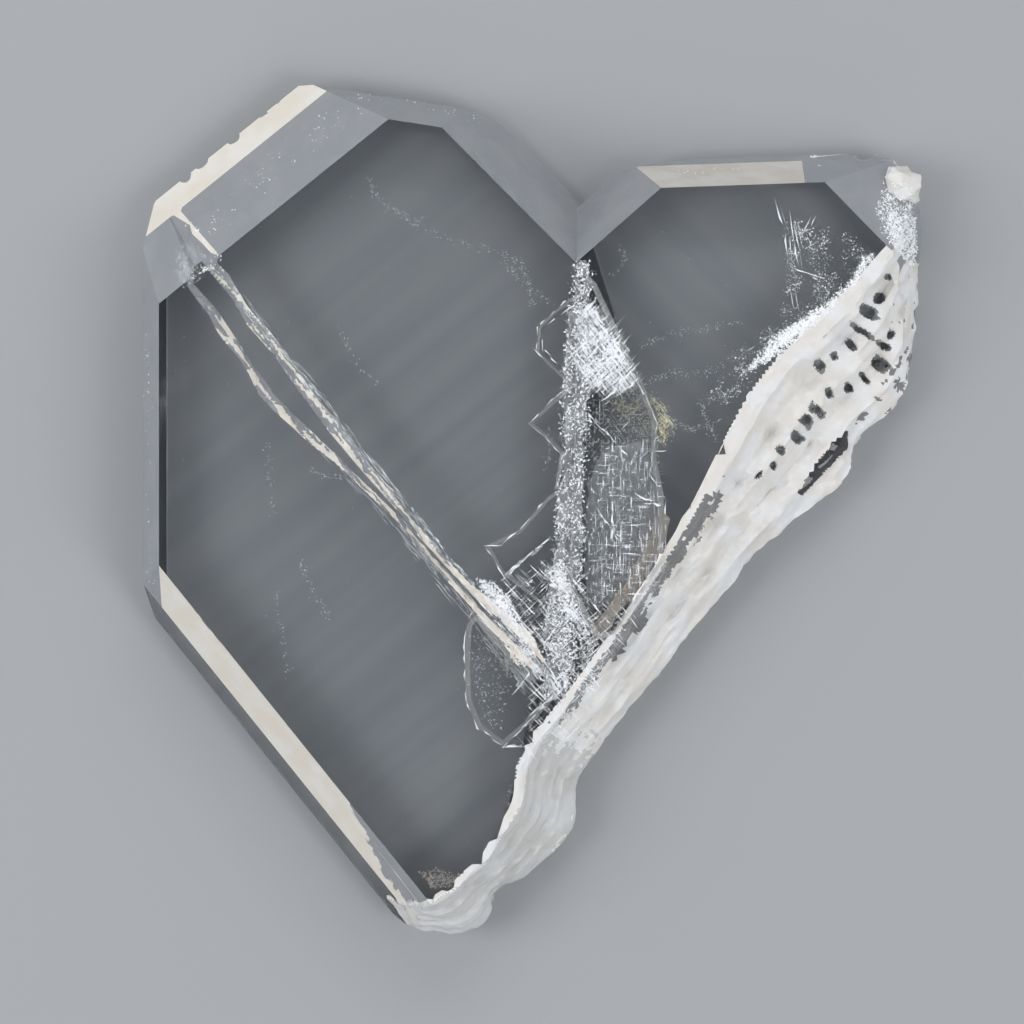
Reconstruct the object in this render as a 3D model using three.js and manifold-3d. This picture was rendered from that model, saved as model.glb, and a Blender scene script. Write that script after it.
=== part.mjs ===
// A heart-shaped Japan-law twin of clear quartz: two flattened crystals grown together, lying on a
// broad prism face that both share. Their long axes lean apart from a common composition plane.
// The lower right edge, where the twin left its vein, is a rough slope of ledges and etch pits.
// Millimetres, +Z up out of the broad front face, +Y towards the notch between the two tips.
// The origin is the centre of the outline at the level of the face it lies on.

import * as THREE from "three";
import { ConvexGeometry } from "three/addons/geometries/ConvexGeometry.js";
import { mergeVertices } from "three/addons/utils/BufferGeometryUtils.js";
import Module from "manifold-3d";

// Quartz angles, in degrees
const twinHalfAngle = 42.275; // each long axis leans this far from the composition plane
const rhombPolar = 51.79; // long axis to the normal of a tip face
const prismPolar = 90;

// The whole twin
const thickness = 4.9; // between the two broad faces
const seamLean = 3.475; // the composition plane leans this far to the right of +Y, in degrees

// Each face: compass azimuth round the long axis from the front, polar angle, distance from the
// crystal's own centre, and a turn in the plane of the plate where the face tapers. Each bevel is
// an upright facet that blunts a corner of the outline: its heading from +X, and its distance.
const leftCrystal = {
  lean: seamLean - twinHalfAngle,
  centre: [-10.1, 4.075],
  faces: [
    { azimuth: 0, polar: rhombPolar, distance: 8.25 },
    { azimuth: 180, polar: rhombPolar, distance: 9.82 },
    { azimuth: 60, polar: rhombPolar, distance: 15.45 },
    { azimuth: 120, polar: rhombPolar, distance: 15.96 },
    { azimuth: -60, polar: rhombPolar, distance: 8.78, turn: 3.5 },
    { azimuth: -120, polar: rhombPolar, distance: 8.6, turn: 3.5 },
    { azimuth: 60, polar: prismPolar, distance: 13.86, turn: 6 },
    { azimuth: 120, polar: prismPolar, distance: 15.58, turn: 6 },
    { azimuth: -60, polar: prismPolar, distance: 10.63 },
    { azimuth: -120, polar: prismPolar, distance: 11.63 },
    { azimuth: 0, polar: 180, distance: 24.5 },
  ],
  bevels: [{ heading: 155, distance: 12.95 }],
};
const rightCrystal = {
  lean: seamLean + twinHalfAngle,
  centre: [10.65, 10.075],
  faces: [
    { azimuth: 0, polar: rhombPolar, distance: 6.41 },
    { azimuth: 180, polar: rhombPolar, distance: 6.82 },
    { azimuth: -60, polar: rhombPolar, distance: 6.67 },
    { azimuth: -120, polar: rhombPolar, distance: 7.67 },
    { azimuth: 60, polar: rhombPolar, distance: 7.53 },
    { azimuth: 120, polar: rhombPolar, distance: 8.55 },
    { azimuth: -60, polar: prismPolar, distance: 7.58, turn: -3 },
    { azimuth: -120, polar: prismPolar, distance: 8.8, turn: -3 },
    { azimuth: 60, polar: prismPolar, distance: 9.6 },
    { azimuth: 120, polar: prismPolar, distance: 10.2 },
    { azimuth: 0, polar: 180, distance: 24 },
  ],
  bevels: [{ heading: 105, distance: 8.41 }],
};

// The rough slope: where it leaves the front face, and where it meets the outline, tip to foot
const slopeTop = [
  [18.7, 14.3], [17.5, 13.1], [15.9, 11.3], [14.2, 9.7], [12.2, 7.7], [10.7, 5.8], [9.0, 2.5],
  [7.9, 0.3], [6.7, -1.7], [5.4, -3.8], [4.0, -5.9], [2.9, -7.4], [1.4, -9.4], [-0.1, -11.2],
  [-0.8, -12.7], [-1.0, -14.4], [-1.9, -16.0], [-2.6, -17.2], [-3.5, -18.0], [-4.1, -18.6],
  [-4.7, -19.0], [-5.2, -19.3], [-5.9, -19.5], [-6.5, -19.6], [-7.4, -19.2],
];
const slopeFoot = [
  [20.4, 11.3], [19.5, 9.1], [19.0, 6.8], [18.2, 5.2], [16.3, 3.5], [16.0, 1.9], [13.7, 0.0],
  [11.2, -2.2], [10.2, -3.5], [8.4, -5.4], [6.7, -7.7], [5.4, -9.4], [3.7, -11.4], [2.5, -13.2],
  [2.2, -14.4], [2.0, -15.8], [0.8, -17.2], [-0.4, -18.4], [-1.8, -19.2], [-2.1, -20.2],
  [-2.7, -20.9], [-3.9, -21.2], [-5.6, -21.0], [-6.7, -20.6], [-8.1, -19.7],
];
const slopeStations = 110;
const slopeSteps = 13; // points down the slope at each station
const slopeFootHeight = 0.4; // of the thickness
const ledgeCount = 3;
const pitPitch = 1.35; // between the etch pits along a ledge
const pitDepth = 0.55;
const pitsEnd = 0.42; // the pits fade out this far down the slope's length
const cutReach = 11; // how far the cut runs past the outline

// The growth trough that runs down the left crystal, between two steep walls. Each station gives
// the place along the long axis, the places across it of the left lip, the two ends of the floor
// and the right lip, and the depth.
const troughStations = [
  { along: 22.9, lips: [-4.95, -4.7], floor: [-4.9, -4.85], depth: 0.05 },
  { along: 21.5, lips: [-5.3, -4.55], floor: [-5.1, -4.95], depth: 0.25 },
  { along: 20.1, lips: [-5.75, -4.4], floor: [-5.5, -5.0], depth: 0.4 },
  { along: 19.5, lips: [-6.35, -4.45], floor: [-6.05, -5.05], depth: 0.5 },
  { along: 17.8, lips: [-6.4, -4.5], floor: [-5.95, -5.0], depth: 0.62 },
  { along: 16.1, lips: [-6.65, -4.65], floor: [-6.1, -5.25], depth: 0.58 },
  { along: 14.2, lips: [-6.7, -4.55], floor: [-6.3, -5.15], depth: 0.64 },
  { along: 12.3, lips: [-6.95, -4.75], floor: [-6.35, -5.3], depth: 0.56 },
  { along: 9.5, lips: [-6.5, -4.7], floor: [-6.0, -5.4], depth: 0.52 },
  { along: 7.0, lips: [-6.0, -4.9], floor: [-5.7, -5.35], depth: 0.45 },
  { along: 4.2, lips: [-5.6, -4.9], floor: [-5.35, -5.2], depth: 0.36 },
  { along: 1.0, lips: [-5.5, -4.8], floor: [-5.3, -5.1], depth: 0.34 },
  { along: -2.0, lips: [-5.35, -4.35], floor: [-5.1, -4.85], depth: 0.34 },
  { along: -4.6, lips: [-5.15, -3.8], floor: [-4.8, -4.4], depth: 0.3 },
  { along: -6.2, lips: [-4.9, -4.1], floor: [-4.6, -4.3], depth: 0.08 },
];

// Thin growth plates on the front face, along the seam: outline, rise and bevel
const growthPlates = [
  {
    outline: [[2.7, 11.9], [2.0, 8.0], [1.7, -3.6], [3.2, -6.4], [5.2, -6.0], [6.6, -4.0], [6.55, 0.9], [6.2, 2.6], [6.25, 4.5], [5.6, 6.2], [4.5, 8.6], [3.2, 11.4]],
    rise: 0.42,
    bevel: 0.3,
  },
  {
    outline: [[3.2, 11.2], [1.85, 10.6], [1.1, 10.0], [0.3, 9.2], [0.2, 7.9], [1.0, 7.1], [1.9, 6.3], [3.1, 6.0]],
    rise: 0.26,
    bevel: 0.16,
  },
  {
    outline: [[2.5, 6.7], [1.7, 6.15], [-0.25, 4.4], [0.55, 3.75], [1.4, 2.85], [1.1, 1.1], [2.5, 0.6]],
    rise: 0.3,
    bevel: 0.2,
  },
  {
    outline: [[2.3, 1.8], [0.8, 0.75], [-0.7, -0.95], [-2.3, -1.7], [-1.6, -3.0], [0.4, -4.6], [2.3, -3.6]],
    rise: 0.22,
    bevel: 0.18,
  },
  {
    outline: [[-2.6, -4.9], [-3.25, -5.6], [-3.35, -7.1], [-3.3, -9.4], [-2.7, -10.8], [-1.45, -11.7], [0.1, -10.4], [1.2, -9.2], [0.6, -7.6], [-0.8, -6.2]],
    rise: 0.3,
    bevel: 0.26,
  },
];

// Bruises: small conchoidal chips along edges, as place and radius
const edgeChips = [
  [-17.5, 16.9, 1.5, 0.36], [-16.7, 17.6, 1.3, 0.42], [-15.1, 18.9, 1.5, 0.4], [-13.6, 20.1, 1.6, 0.3],
  [-12.9, 20.7, 1.2, 0.34], [-19.75, 13.2, 1.8, 0.3],
  [16.8, 17.9, 1.6, 0.5], [14.2, 18.1, 1.4, 0.3], [-2.9, 20.3, 1.2, 0.36], [-7.9, 21.1, 1.8, 0.32],
];
const tipBruise = { centre: [18.5, 16.3, 2.3], radius: 1.15, roughness: 0.2 };

const wasm = await Module();
wasm.setup();

// A repeatable source of numbers from 0 to 1.
function randomSource(seed) {
  let state = seed;
  return () => {
    state = (state * 1664525 + 1013904223) % 4294967296;
    return state / 4294967296;
  };
}

// A closed geometry as a solid that can be cut and joined.
function solidFrom(geometry) {
  const bare = geometry.clone();
  for (const name of Object.keys(bare.attributes)) {
    if (name !== "position") bare.deleteAttribute(name);
  }
  const merged = mergeVertices(bare, 1e-4);
  const mesh = new wasm.Mesh({
    numProp: 3,
    vertProperties: merged.attributes.position.array,
    triVerts: new Uint32Array(merged.index.array),
  });
  return new wasm.Manifold(mesh);
}

function geometryFrom(solid) {
  const mesh = solid.getMesh();
  const geometry = new THREE.BufferGeometry();
  geometry.setAttribute("position", new THREE.BufferAttribute(mesh.vertProperties, 3));
  geometry.setIndex(new THREE.BufferAttribute(mesh.triVerts, 1));
  return geometry;
}

// The long axis and the axis across it, in the plane of the plate.
function crystalAxes(lean) {
  const angle = THREE.MathUtils.degToRad(lean);
  return {
    long: new THREE.Vector3(Math.sin(angle), Math.cos(angle), 0),
    across: new THREE.Vector3(Math.cos(angle), -Math.sin(angle), 0),
    front: new THREE.Vector3(0, 0, 1),
  };
}

function faceNormal(axes, face) {
  const azimuth = THREE.MathUtils.degToRad(face.azimuth);
  const polar = THREE.MathUtils.degToRad(face.polar);
  return new THREE.Vector3()
    .addScaledVector(axes.front, Math.sin(polar) * Math.cos(azimuth))
    .addScaledVector(axes.across, Math.sin(polar) * Math.sin(azimuth))
    .addScaledVector(axes.long, Math.cos(polar))
    .applyAxisAngle(axes.front, THREE.MathUtils.degToRad(face.turn ?? 0));
}

// The convex body inside a set of planes, from the points where three of them meet.
function bodyInside(planes) {
  const corners = [];
  const slack = 1e-6;
  for (let i = 0; i < planes.length; i++) {
    for (let j = i + 1; j < planes.length; j++) {
      for (let k = j + 1; k < planes.length; k++) {
        const crossing = new THREE.Matrix3().set(
          ...planes[i].normal.toArray(),
          ...planes[j].normal.toArray(),
          ...planes[k].normal.toArray(),
        );
        if (Math.abs(crossing.determinant()) < slack) continue;
        const point = new THREE.Vector3(-planes[i].constant, -planes[j].constant, -planes[k].constant);
        point.applyMatrix3(crossing.invert());
        const inside = planes.every((plane) => plane.distanceToPoint(point) < slack);
        const isNew = corners.every((corner) => corner.distanceTo(point) > 1e-4);
        if (inside && isNew) corners.push(point);
      }
    }
  }
  return solidFrom(new ConvexGeometry(corners));
}

// One crystal of the twin, whole. It runs on inside the other one.
function makeCrystal(crystal) {
  const axes = crystalAxes(crystal.lean);
  const centre = new THREE.Vector3(...crystal.centre, thickness / 2);
  const planes = crystal.faces.map((face) => {
    const normal = faceNormal(axes, face);
    return new THREE.Plane().setFromNormalAndCoplanarPoint(
      normal,
      centre.clone().addScaledVector(normal, face.distance),
    );
  });
  for (const bevel of crystal.bevels) {
    const heading = THREE.MathUtils.degToRad(bevel.heading);
    const normal = new THREE.Vector3(Math.cos(heading), Math.sin(heading), 0);
    planes.push(
      new THREE.Plane().setFromNormalAndCoplanarPoint(normal, centre.clone().addScaledVector(normal, bevel.distance)),
    );
  }
  planes.push(new THREE.Plane(new THREE.Vector3(0, 0, 1), -thickness));
  planes.push(new THREE.Plane(new THREE.Vector3(0, 0, -1), 0));
  return bodyInside(planes);
}

// A closed body through a row of equal loops of points, each loop anticlockwise seen from the start.
function loftSolid(loops) {
  const count = loops[0].length;
  const points = loops.flat();
  const triangles = [];
  for (let i = 0; i + 1 < loops.length; i++) {
    for (let j = 0; j < count; j++) {
      const next = (j + 1) % count;
      const [a, b] = [i * count + j, i * count + next];
      const [c, d] = [a + count, b + count];
      triangles.push(a, c, b, b, c, d);
    }
  }
  const last = (loops.length - 1) * count;
  for (let j = 1; j + 1 < count; j++) {
    triangles.push(0, j, j + 1);
    triangles.push(last, last + j + 1, last + j);
  }
  const geometry = new THREE.BufferGeometry().setFromPoints(points);
  geometry.setIndex(triangles);
  const solid = solidFrom(geometry);
  if (solid.volume() > 0) return solid;
  for (let i = 0; i < triangles.length; i += 3) {
    [triangles[i + 1], triangles[i + 2]] = [triangles[i + 2], triangles[i + 1]];
  }
  geometry.setIndex(triangles);
  return solidFrom(geometry);
}

function smoothLine(points) {
  return new THREE.CatmullRomCurve3(points.map(([x, y]) => new THREE.Vector3(x, y, 0)));
}

// How far down the slope a point is, from 0 to 1: ledges with rounded risers that wander.
function ledgeFall(across, along) {
  const wander = 0.16 * Math.sin(along * 0.62) + 0.1 * Math.sin(along * 1.71 + 2);
  const climb = across * ledgeCount + wander * Math.sin(Math.PI * across);
  const ledge = Math.floor(climb);
  const part = THREE.MathUtils.smoothstep(climb - ledge, 0.38, 1);
  return THREE.MathUtils.clamp((ledge + part) / ledgeCount, 0, 1);
}

// Oval etch pits in two rows, and long conchoidal ripples below them.
function slopeRelief(across, along, share) {
  const rows = [0.3, 0.6];
  const fade = 1 - THREE.MathUtils.smoothstep(share, pitsEnd - 0.06, pitsEnd);
  let relief = 0;
  rows.forEach((row, index) => {
    const swing = Math.sin((Math.PI * along) / pitPitch + index * 1.3);
    const band = Math.exp(-(((across - row) / 0.085) ** 2));
    relief -= pitDepth * fade * band * Math.max(0, swing) ** 0.7;
  });
  const ripple = Math.sin(along * 1.9 + across * 4) * Math.sin(along * 0.83 + 1);
  return relief + 0.16 * ripple * Math.sin(Math.PI * across);
}

// The rock taken away outside the rough slope.
function makeSlopeCut() {
  const top = smoothLine(slopeTop);
  const foot = smoothLine(slopeFoot);
  const loops = [];
  let along = 0;
  let previous = foot.getPoint(0);
  for (let i = 0; i <= slopeStations; i++) {
    const share = i / slopeStations;
    const start = top.getPoint(share);
    const end = foot.getPoint(share);
    along += end.distanceTo(previous);
    previous = end;
    const outward = end.clone().sub(start).normalize();
    const loop = [start.clone().setZ(thickness + 1)];
    for (let j = 0; j <= slopeSteps; j++) {
      const across = j / slopeSteps;
      const height = thickness * (1 - (1 - slopeFootHeight) * ledgeFall(across, along));
      const point = start.clone().lerp(end, across);
      loop.push(point.setZ(height + slopeRelief(across, along, share) * Math.min(1, 4 * (1 - across))));
    }
    const scallop = 0.12 * Math.sin(along * 2.3) + 0.08 * Math.sin(along * 5.1 + 1);
    loop.push(end.clone().addScaledVector(outward, -0.15 + scallop).setZ(0.2 * thickness));
    loop.push(end.clone().addScaledVector(outward, -0.55 + scallop).setZ(0));
    loop.push(end.clone().addScaledVector(outward, -0.75 + scallop).setZ(-1));
    loop.push(end.clone().addScaledVector(outward, cutReach).setZ(-1));
    loop.push(end.clone().addScaledVector(outward, cutReach).setZ(thickness + 1));
    loops.push(loop);
  }
  return loftSolid(loops);
}

// The height of the left crystal's front over a point, on the broad face or on the tip face.
function leftFrontHeight(point) {
  const axes = crystalAxes(leftCrystal.lean);
  const tip = leftCrystal.faces[0];
  const normal = faceNormal(axes, tip);
  const centre = new THREE.Vector3(...leftCrystal.centre, thickness / 2);
  const rest = tip.distance - normal.x * (point.x - centre.x) - normal.y * (point.y - centre.y);
  return Math.min(thickness, centre.z + rest / normal.z);
}

// The growth trough: a floor between two steep walls that follow the front face and the tip face.
function makeTroughCut() {
  const over = 0.5;
  const axes = crystalAxes(leftCrystal.lean);
  const place = (along, across, depth) => {
    const point = axes.long.clone().multiplyScalar(along).addScaledVector(axes.across, across);
    return point.setZ(leftFrontHeight(point) - depth);
  };
  const loops = troughStations.map(({ along, lips, floor, depth }) => {
    const reach = (depth + over) / depth;
    const left = floor[0] + (lips[0] - floor[0]) * reach;
    const right = floor[1] + (lips[1] - floor[1]) * reach;
    return [
      place(along, left, -over),
      place(along, floor[0], depth),
      place(along, floor[1], depth),
      place(along, right, -over),
    ];
  });
  return loftSolid(loops);
}

// An outline with each side moved inwards, or outwards where the inset is below 0.
function insetOutline(outline, inset) {
  const corners = outline.map(([x, y]) => new THREE.Vector2(x, y));
  const turn = Math.sign(THREE.ShapeUtils.area(corners));
  const inwards = corners.map((corner, i) => {
    const side = corners[(i + 1) % corners.length].clone().sub(corner).normalize();
    return new THREE.Vector2(-side.y, side.x).multiplyScalar(turn);
  });
  return corners.map((corner, i) => {
    const before = inwards[(i + corners.length - 1) % corners.length];
    const mitre = before.clone().add(inwards[i]);
    return corner.clone().addScaledVector(mitre, (2 * inset) / mitre.lengthSq()).toArray();
  });
}

// A thin plate between two outlines at two heights.
function platePrism(lower, upper, bottom, top) {
  const raise = (outline, z) => outline.map(([x, y]) => new THREE.Vector3(x, y, z));
  return loftSolid([raise(lower, bottom), raise(upper, top)]);
}

function makeGrowthPlate({ outline, rise, bevel }) {
  const sunk = 0.3;
  const spread = insetOutline(outline, (-bevel * sunk) / rise);
  return platePrism(spread, insetOutline(outline, bevel), thickness - sunk, thickness + rise);
}

// A rough lump: a many-sided ball with its corners moved at random.
function makeLump(centre, radius, roughness, seed) {
  const random = randomSource(seed);
  const ball = mergeVertices(new THREE.IcosahedronGeometry(radius, 1).deleteAttribute("uv").deleteAttribute("normal"));
  const corners = ball.attributes.position;
  for (let i = 0; i < corners.count; i++) {
    const point = new THREE.Vector3().fromBufferAttribute(corners, i);
    point.multiplyScalar(1 + roughness * (2 * random() - 1));
    corners.setXYZ(i, point.x + centre[0], point.y + centre[1], point.z + centre[2]);
  }
  return solidFrom(ball);
}

function makeTwin() {
  let twin = makeCrystal(leftCrystal).add(makeCrystal(rightCrystal));
  for (const plate of growthPlates) twin = twin.add(makeGrowthPlate(plate));
  twin = twin.subtract(makeTroughCut());
  twin = twin.subtract(makeSlopeCut());
  twin = twin.add(makeLump(tipBruise.centre, tipBruise.radius, tipBruise.roughness, 7));
  edgeChips.forEach(([x, y, z, radius], index) => {
    twin = twin.subtract(makeLump([x, y, z], radius, 0.15, 20 + index));
  });
  const pieces = twin.decompose();
  return pieces.sort((a, b) => b.volume() - a.volume())[0];
}

const quartz = new THREE.MeshStandardMaterial({
  name: "clear quartz",
  color: 0xdfe3e6,
  roughness: 0.05,
  metalness: 0,
  transparent: true,
  opacity: 0.5,
});

const twinGeometry = geometryFrom(makeTwin());
twinGeometry.computeBoundingBox();
const box = twinGeometry.boundingBox;
const twin = new THREE.Mesh(twinGeometry, quartz);
twin.name = "twin_crystal";
twin.position.set(-(box.min.x + box.max.x) / 2, -(box.min.y + box.max.y) / 2, -box.min.z);

const part = new THREE.Group();
part.add(twin);

export default part;
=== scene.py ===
# A heart-shaped Japan-law twin of clear quartz, lying on its broad back face.
# The clear body is the CAD solid with a crushed, frosted edge. What clouds it inside (healed
# fractures, growth veils, iron stain) is made of tiny closed shards.
# Settings are in millimetres, measured as the outline of the part is; place() puts them in the frame.

import math

import bmesh
import bpy
import numpy as np
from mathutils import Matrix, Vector, noise
from mathutils.bvhtree import BVHTree


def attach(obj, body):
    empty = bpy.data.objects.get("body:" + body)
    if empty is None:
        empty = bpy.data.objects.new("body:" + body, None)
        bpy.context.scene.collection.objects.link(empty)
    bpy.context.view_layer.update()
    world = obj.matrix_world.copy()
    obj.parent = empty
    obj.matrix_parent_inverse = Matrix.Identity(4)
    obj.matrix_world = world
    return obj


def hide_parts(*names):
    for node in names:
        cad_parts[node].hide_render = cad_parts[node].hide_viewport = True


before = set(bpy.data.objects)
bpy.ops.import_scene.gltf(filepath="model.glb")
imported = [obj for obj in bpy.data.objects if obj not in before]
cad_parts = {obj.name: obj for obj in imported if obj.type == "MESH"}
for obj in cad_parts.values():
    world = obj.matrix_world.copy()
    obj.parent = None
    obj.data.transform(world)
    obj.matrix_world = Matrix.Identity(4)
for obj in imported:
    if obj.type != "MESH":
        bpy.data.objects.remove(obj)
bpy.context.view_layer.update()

mm = 0.001
outlineShift = np.array([-0.0545, -0.1512, 0.0])  # from the outline's own numbers to the middle of its box

twin = {
    "node": "twin_crystal",
    "thickness": 4.9,
    "leftLean": -38.8,  # each crystal's long axis, in degrees from +Y towards +X
    "rightLean": 45.75,
    "seam": [(2.5, 14.5), (2.2, 8.1), (1.9, 0.6), (1.2, -6.9), (0.6, -12)],
}


# Outline millimetres to metres in the frame.
def place(points):
    return (np.asarray(points, float) + outlineShift) * mm


def unplace(points):
    return np.asarray(points, float) / mm - outlineShift


def axesOf(lean):
    angle = math.radians(lean)
    along = np.array([math.sin(angle), math.cos(angle), 0.0])
    across = np.array([math.cos(angle), -math.sin(angle), 0.0])
    return along, across


leftAlong, leftAcross = axesOf(twin["leftLean"])
rightAlong, rightAcross = axesOf(twin["rightLean"])


def unit(vectors):
    return vectors / (np.linalg.norm(vectors, axis=-1, keepdims=True) + 1e-12)


def between(ends, shares):
    return ends[0] + (ends[1] - ends[0]) * shares


# Directions near straight up.
def tilted(count, tilt, rng):
    return unit(np.c_[rng.normal(size=(count, 2)) * tilt, np.ones(count)])


# Points evenly spaced along a path.
def resample(path, count):
    path = np.asarray(path, float)
    steps = np.linalg.norm(np.diff(path, axis=0), axis=1)
    lengths = np.concatenate([[0.0], np.cumsum(steps)])
    at = np.linspace(0, 1, count) * lengths[-1]
    return np.stack([np.interp(at, lengths, column) for column in path.T], axis=1)


# Distance of each point from a path, above 0 on its left, and its share of the length.
def sideOfPath(points, path):
    path = np.asarray(path, float)
    starts, spans = path[:-1], np.diff(path, axis=0)
    lengths = np.linalg.norm(spans, axis=1)
    before = np.concatenate([[0.0], np.cumsum(lengths)])[:-1]
    best = np.full(len(points), 1e9)
    side = np.zeros(len(points))
    share = np.zeros(len(points))
    for start, span, length, done in zip(starts, spans, lengths, before):
        rel = points - start
        part = np.clip(rel @ span / length**2, 0, 1)
        gap = rel - part[:, None] * span
        distance = np.linalg.norm(gap, axis=1)
        closer = distance < best
        cross = span[0] * rel[:, 1] - span[1] * rel[:, 0]
        best = np.where(closer, distance, best)
        side = np.where(closer, distance * np.sign(cross), side)
        share = np.where(closer, (done + part * length) / lengths.sum(), share)
    return side, share


# Which points lie inside a closed outline.
def insideOutline(points, outline):
    outline = np.asarray(outline, float)
    inside = np.zeros(len(points), bool)
    for (x0, y0), (x1, y1) in zip(outline, np.roll(outline, -1, axis=0)):
        if y0 == y1:
            continue
        crosses = (y0 > points[:, 1]) != (y1 > points[:, 1])
        reach = (x1 - x0) * (points[:, 1] - y0) / (y1 - y0) + x0
        inside ^= crosses & (points[:, 0] < reach)
    return inside


# Smooth noise from about -1 to 1 at outline points, with features of one grain.
def noiseAt(points, grain, seed=0.0):
    offset = Vector((seed * 7.13, seed * 3.71, seed * 5.37))
    return np.array([noise.noise(Vector(p) / grain + offset) for p in points])


# Materials

quartzLook = {
    "ior": 1.544,
    "paintedShade": ("#ced0d2", 170.0),  # colour and density of a smoky tint: painted shade that dims what is seen through the crystal
    "lines": {"pitch": 1.3, "stretch": 0.04, "tints": [(0.3, "#f3f5f7"), (0.62, "#ffffff")]},
    "relief": (0.6, 0.06),  # strength and height of the etched grain
    "cloud": 1.6,  # how wide the lighter and darker clouds of an etched face are
    "cloudStops": (0.4, 0.62),
    "healedIor": 1.08,
    "healedCloud": 1.2,
}
mixSockets = {"colours": (6, 7), "result": 2}  # the colour sockets of a mix node


# An sRGB hex colour as linear red, green, blue and alpha.
def linear(hexColour):
    values = [int(hexColour[i : i + 2], 16) / 255 for i in (1, 3, 5)]
    return [v / 12.92 if v <= 0.04045 else ((v + 0.055) / 1.055) ** 2.4 for v in values] + [1.0]


# Adds a node, sets its attributes and sockets, and links its inputs.
def addNode(tree, kind, settings=None, links=None):
    node = tree.nodes.new(kind)
    for key, value in (settings or {}).items():
        if key in node.inputs:
            node.inputs[key].default_value = value
        else:
            setattr(node, key, value)
    for key, source in (links or {}).items():
        tree.links.new(source, node.inputs[key])
    return node


def newMaterial(name):
    material = bpy.data.materials.new(name)
    material.use_nodes = True
    tree = material.node_tree
    tree.nodes.clear()
    output = addNode(tree, "ShaderNodeOutputMaterial")
    return material, tree, output


def addSurface(tree, output, settings, links=None):
    shader = addNode(tree, "ShaderNodeBsdfPrincipled", settings, links)
    tree.links.new(shader.outputs["BSDF"], output.inputs["Surface"])


# Noise with features of about one grain, in millimetres.
def addNoise(tree, grain, detail, roughness=0.5):
    coords = addNode(tree, "ShaderNodeTexCoord")
    settings = {"Scale": 1 / (grain * mm), "Detail": detail, "Roughness": roughness}
    return addNode(tree, "ShaderNodeTexNoise", settings, {"Vector": coords.outputs["Object"]}).outputs["Fac"]


# Two colours, and the values of a factor at which each of them is pure.
def addRamp(tree, factor, stops):
    ramp = addNode(tree, "ShaderNodeValToRGB", {}, {"Fac": factor})
    for element, (at, colour) in zip(ramp.color_ramp.elements, stops):
        element.position = at
        element.color = linear(colour)
    return ramp.outputs["Color"]


# A smoky tint, painted shade: 5 mm of it dims the light a little, so white inclusions stand out.
def paintedShadeAbsorption(tree, output):
    colour, density = quartzLook["paintedShade"]
    fog = addNode(tree, "ShaderNodeVolumeAbsorption", {"Color": linear(colour), "Density": density})
    tree.links.new(fog.outputs["Volume"], output.inputs["Volume"])


# Faint growth lines square to a crystal's long axis.
def growthLines(tree, lean):
    lines = quartzLook["lines"]
    pitch = lines["pitch"] * mm
    coords = addNode(tree, "ShaderNodeTexCoord")
    turned = addNode(
        tree,
        "ShaderNodeMapping",
        {"vector_type": "TEXTURE", "Rotation": (0, 0, math.radians(-lean))},
        {"Vector": coords.outputs["Object"]},
    )
    scale = (lines["stretch"] / pitch, 1 / pitch, lines["stretch"] / pitch)
    stretched = addNode(tree, "ShaderNodeMapping", {"Scale": scale}, {"Vector": turned.outputs["Vector"]})
    wave = addNode(
        tree,
        "ShaderNodeTexNoise",
        {"Scale": 1.0, "Detail": 1.0, "Roughness": 0.6},
        {"Vector": stretched.outputs["Vector"]},
    )
    return addRamp(tree, wave.outputs["Fac"], lines["tints"])


# Clear rock crystal, natural growth faces: glassy, with faint growth lines that dim the light.
def clearQuartz(name, lean):
    material, tree, output = newMaterial(name)
    settings = {"Roughness": 0.0, "IOR": quartzLook["ior"], "Transmission Weight": 1.0}
    addSurface(tree, output, settings, {"Base Color": growthLines(tree, lean)})
    paintedShadeAbsorption(tree, output)
    return material


# Quartz broken and etched in its vein: sugary, so it glows white where light gets into it.
def etchedQuartz(name, colours, transmission, roughness, grain):
    material, tree, output = newMaterial(name)
    strength, height = quartzLook["relief"]
    grit = addNoise(tree, grain, 5.0, 0.65)
    settings = {"Strength": strength, "Distance": height * mm}
    relief = addNode(tree, "ShaderNodeBump", settings, {"Height": grit})
    cloud = addNoise(tree, quartzLook["cloud"], 2.0)
    shade = addRamp(tree, cloud, zip(quartzLook["cloudStops"], colours))
    settings = {"Roughness": roughness, "IOR": quartzLook["ior"], "Transmission Weight": transmission}
    addSurface(tree, output, settings, {"Base Color": shade, "Normal": relief.outputs["Normal"]})
    paintedShadeAbsorption(tree, output)
    return material


# The skin of a healed crack: matt white where it scatters, tinted where iron got in. Its white also makes the
# trough's painted glints.
def healedFracture(name, colours, roughness=0.4, transmission=0.0):
    material, tree, output = newMaterial(name)
    cloud = addNoise(tree, quartzLook["healedCloud"], 2.0)
    tint = addNode(tree, "ShaderNodeMix", {"data_type": "RGBA"}, {"Factor": cloud})
    for socket, colour in zip(mixSockets["colours"], colours):
        tint.inputs[socket].default_value = linear(colour)
    settings = {"Roughness": roughness, "IOR": quartzLook["healedIor"], "Transmission Weight": transmission}
    addSurface(tree, output, settings, {"Base Color": tint.outputs[mixSockets["result"]]})
    return material


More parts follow.
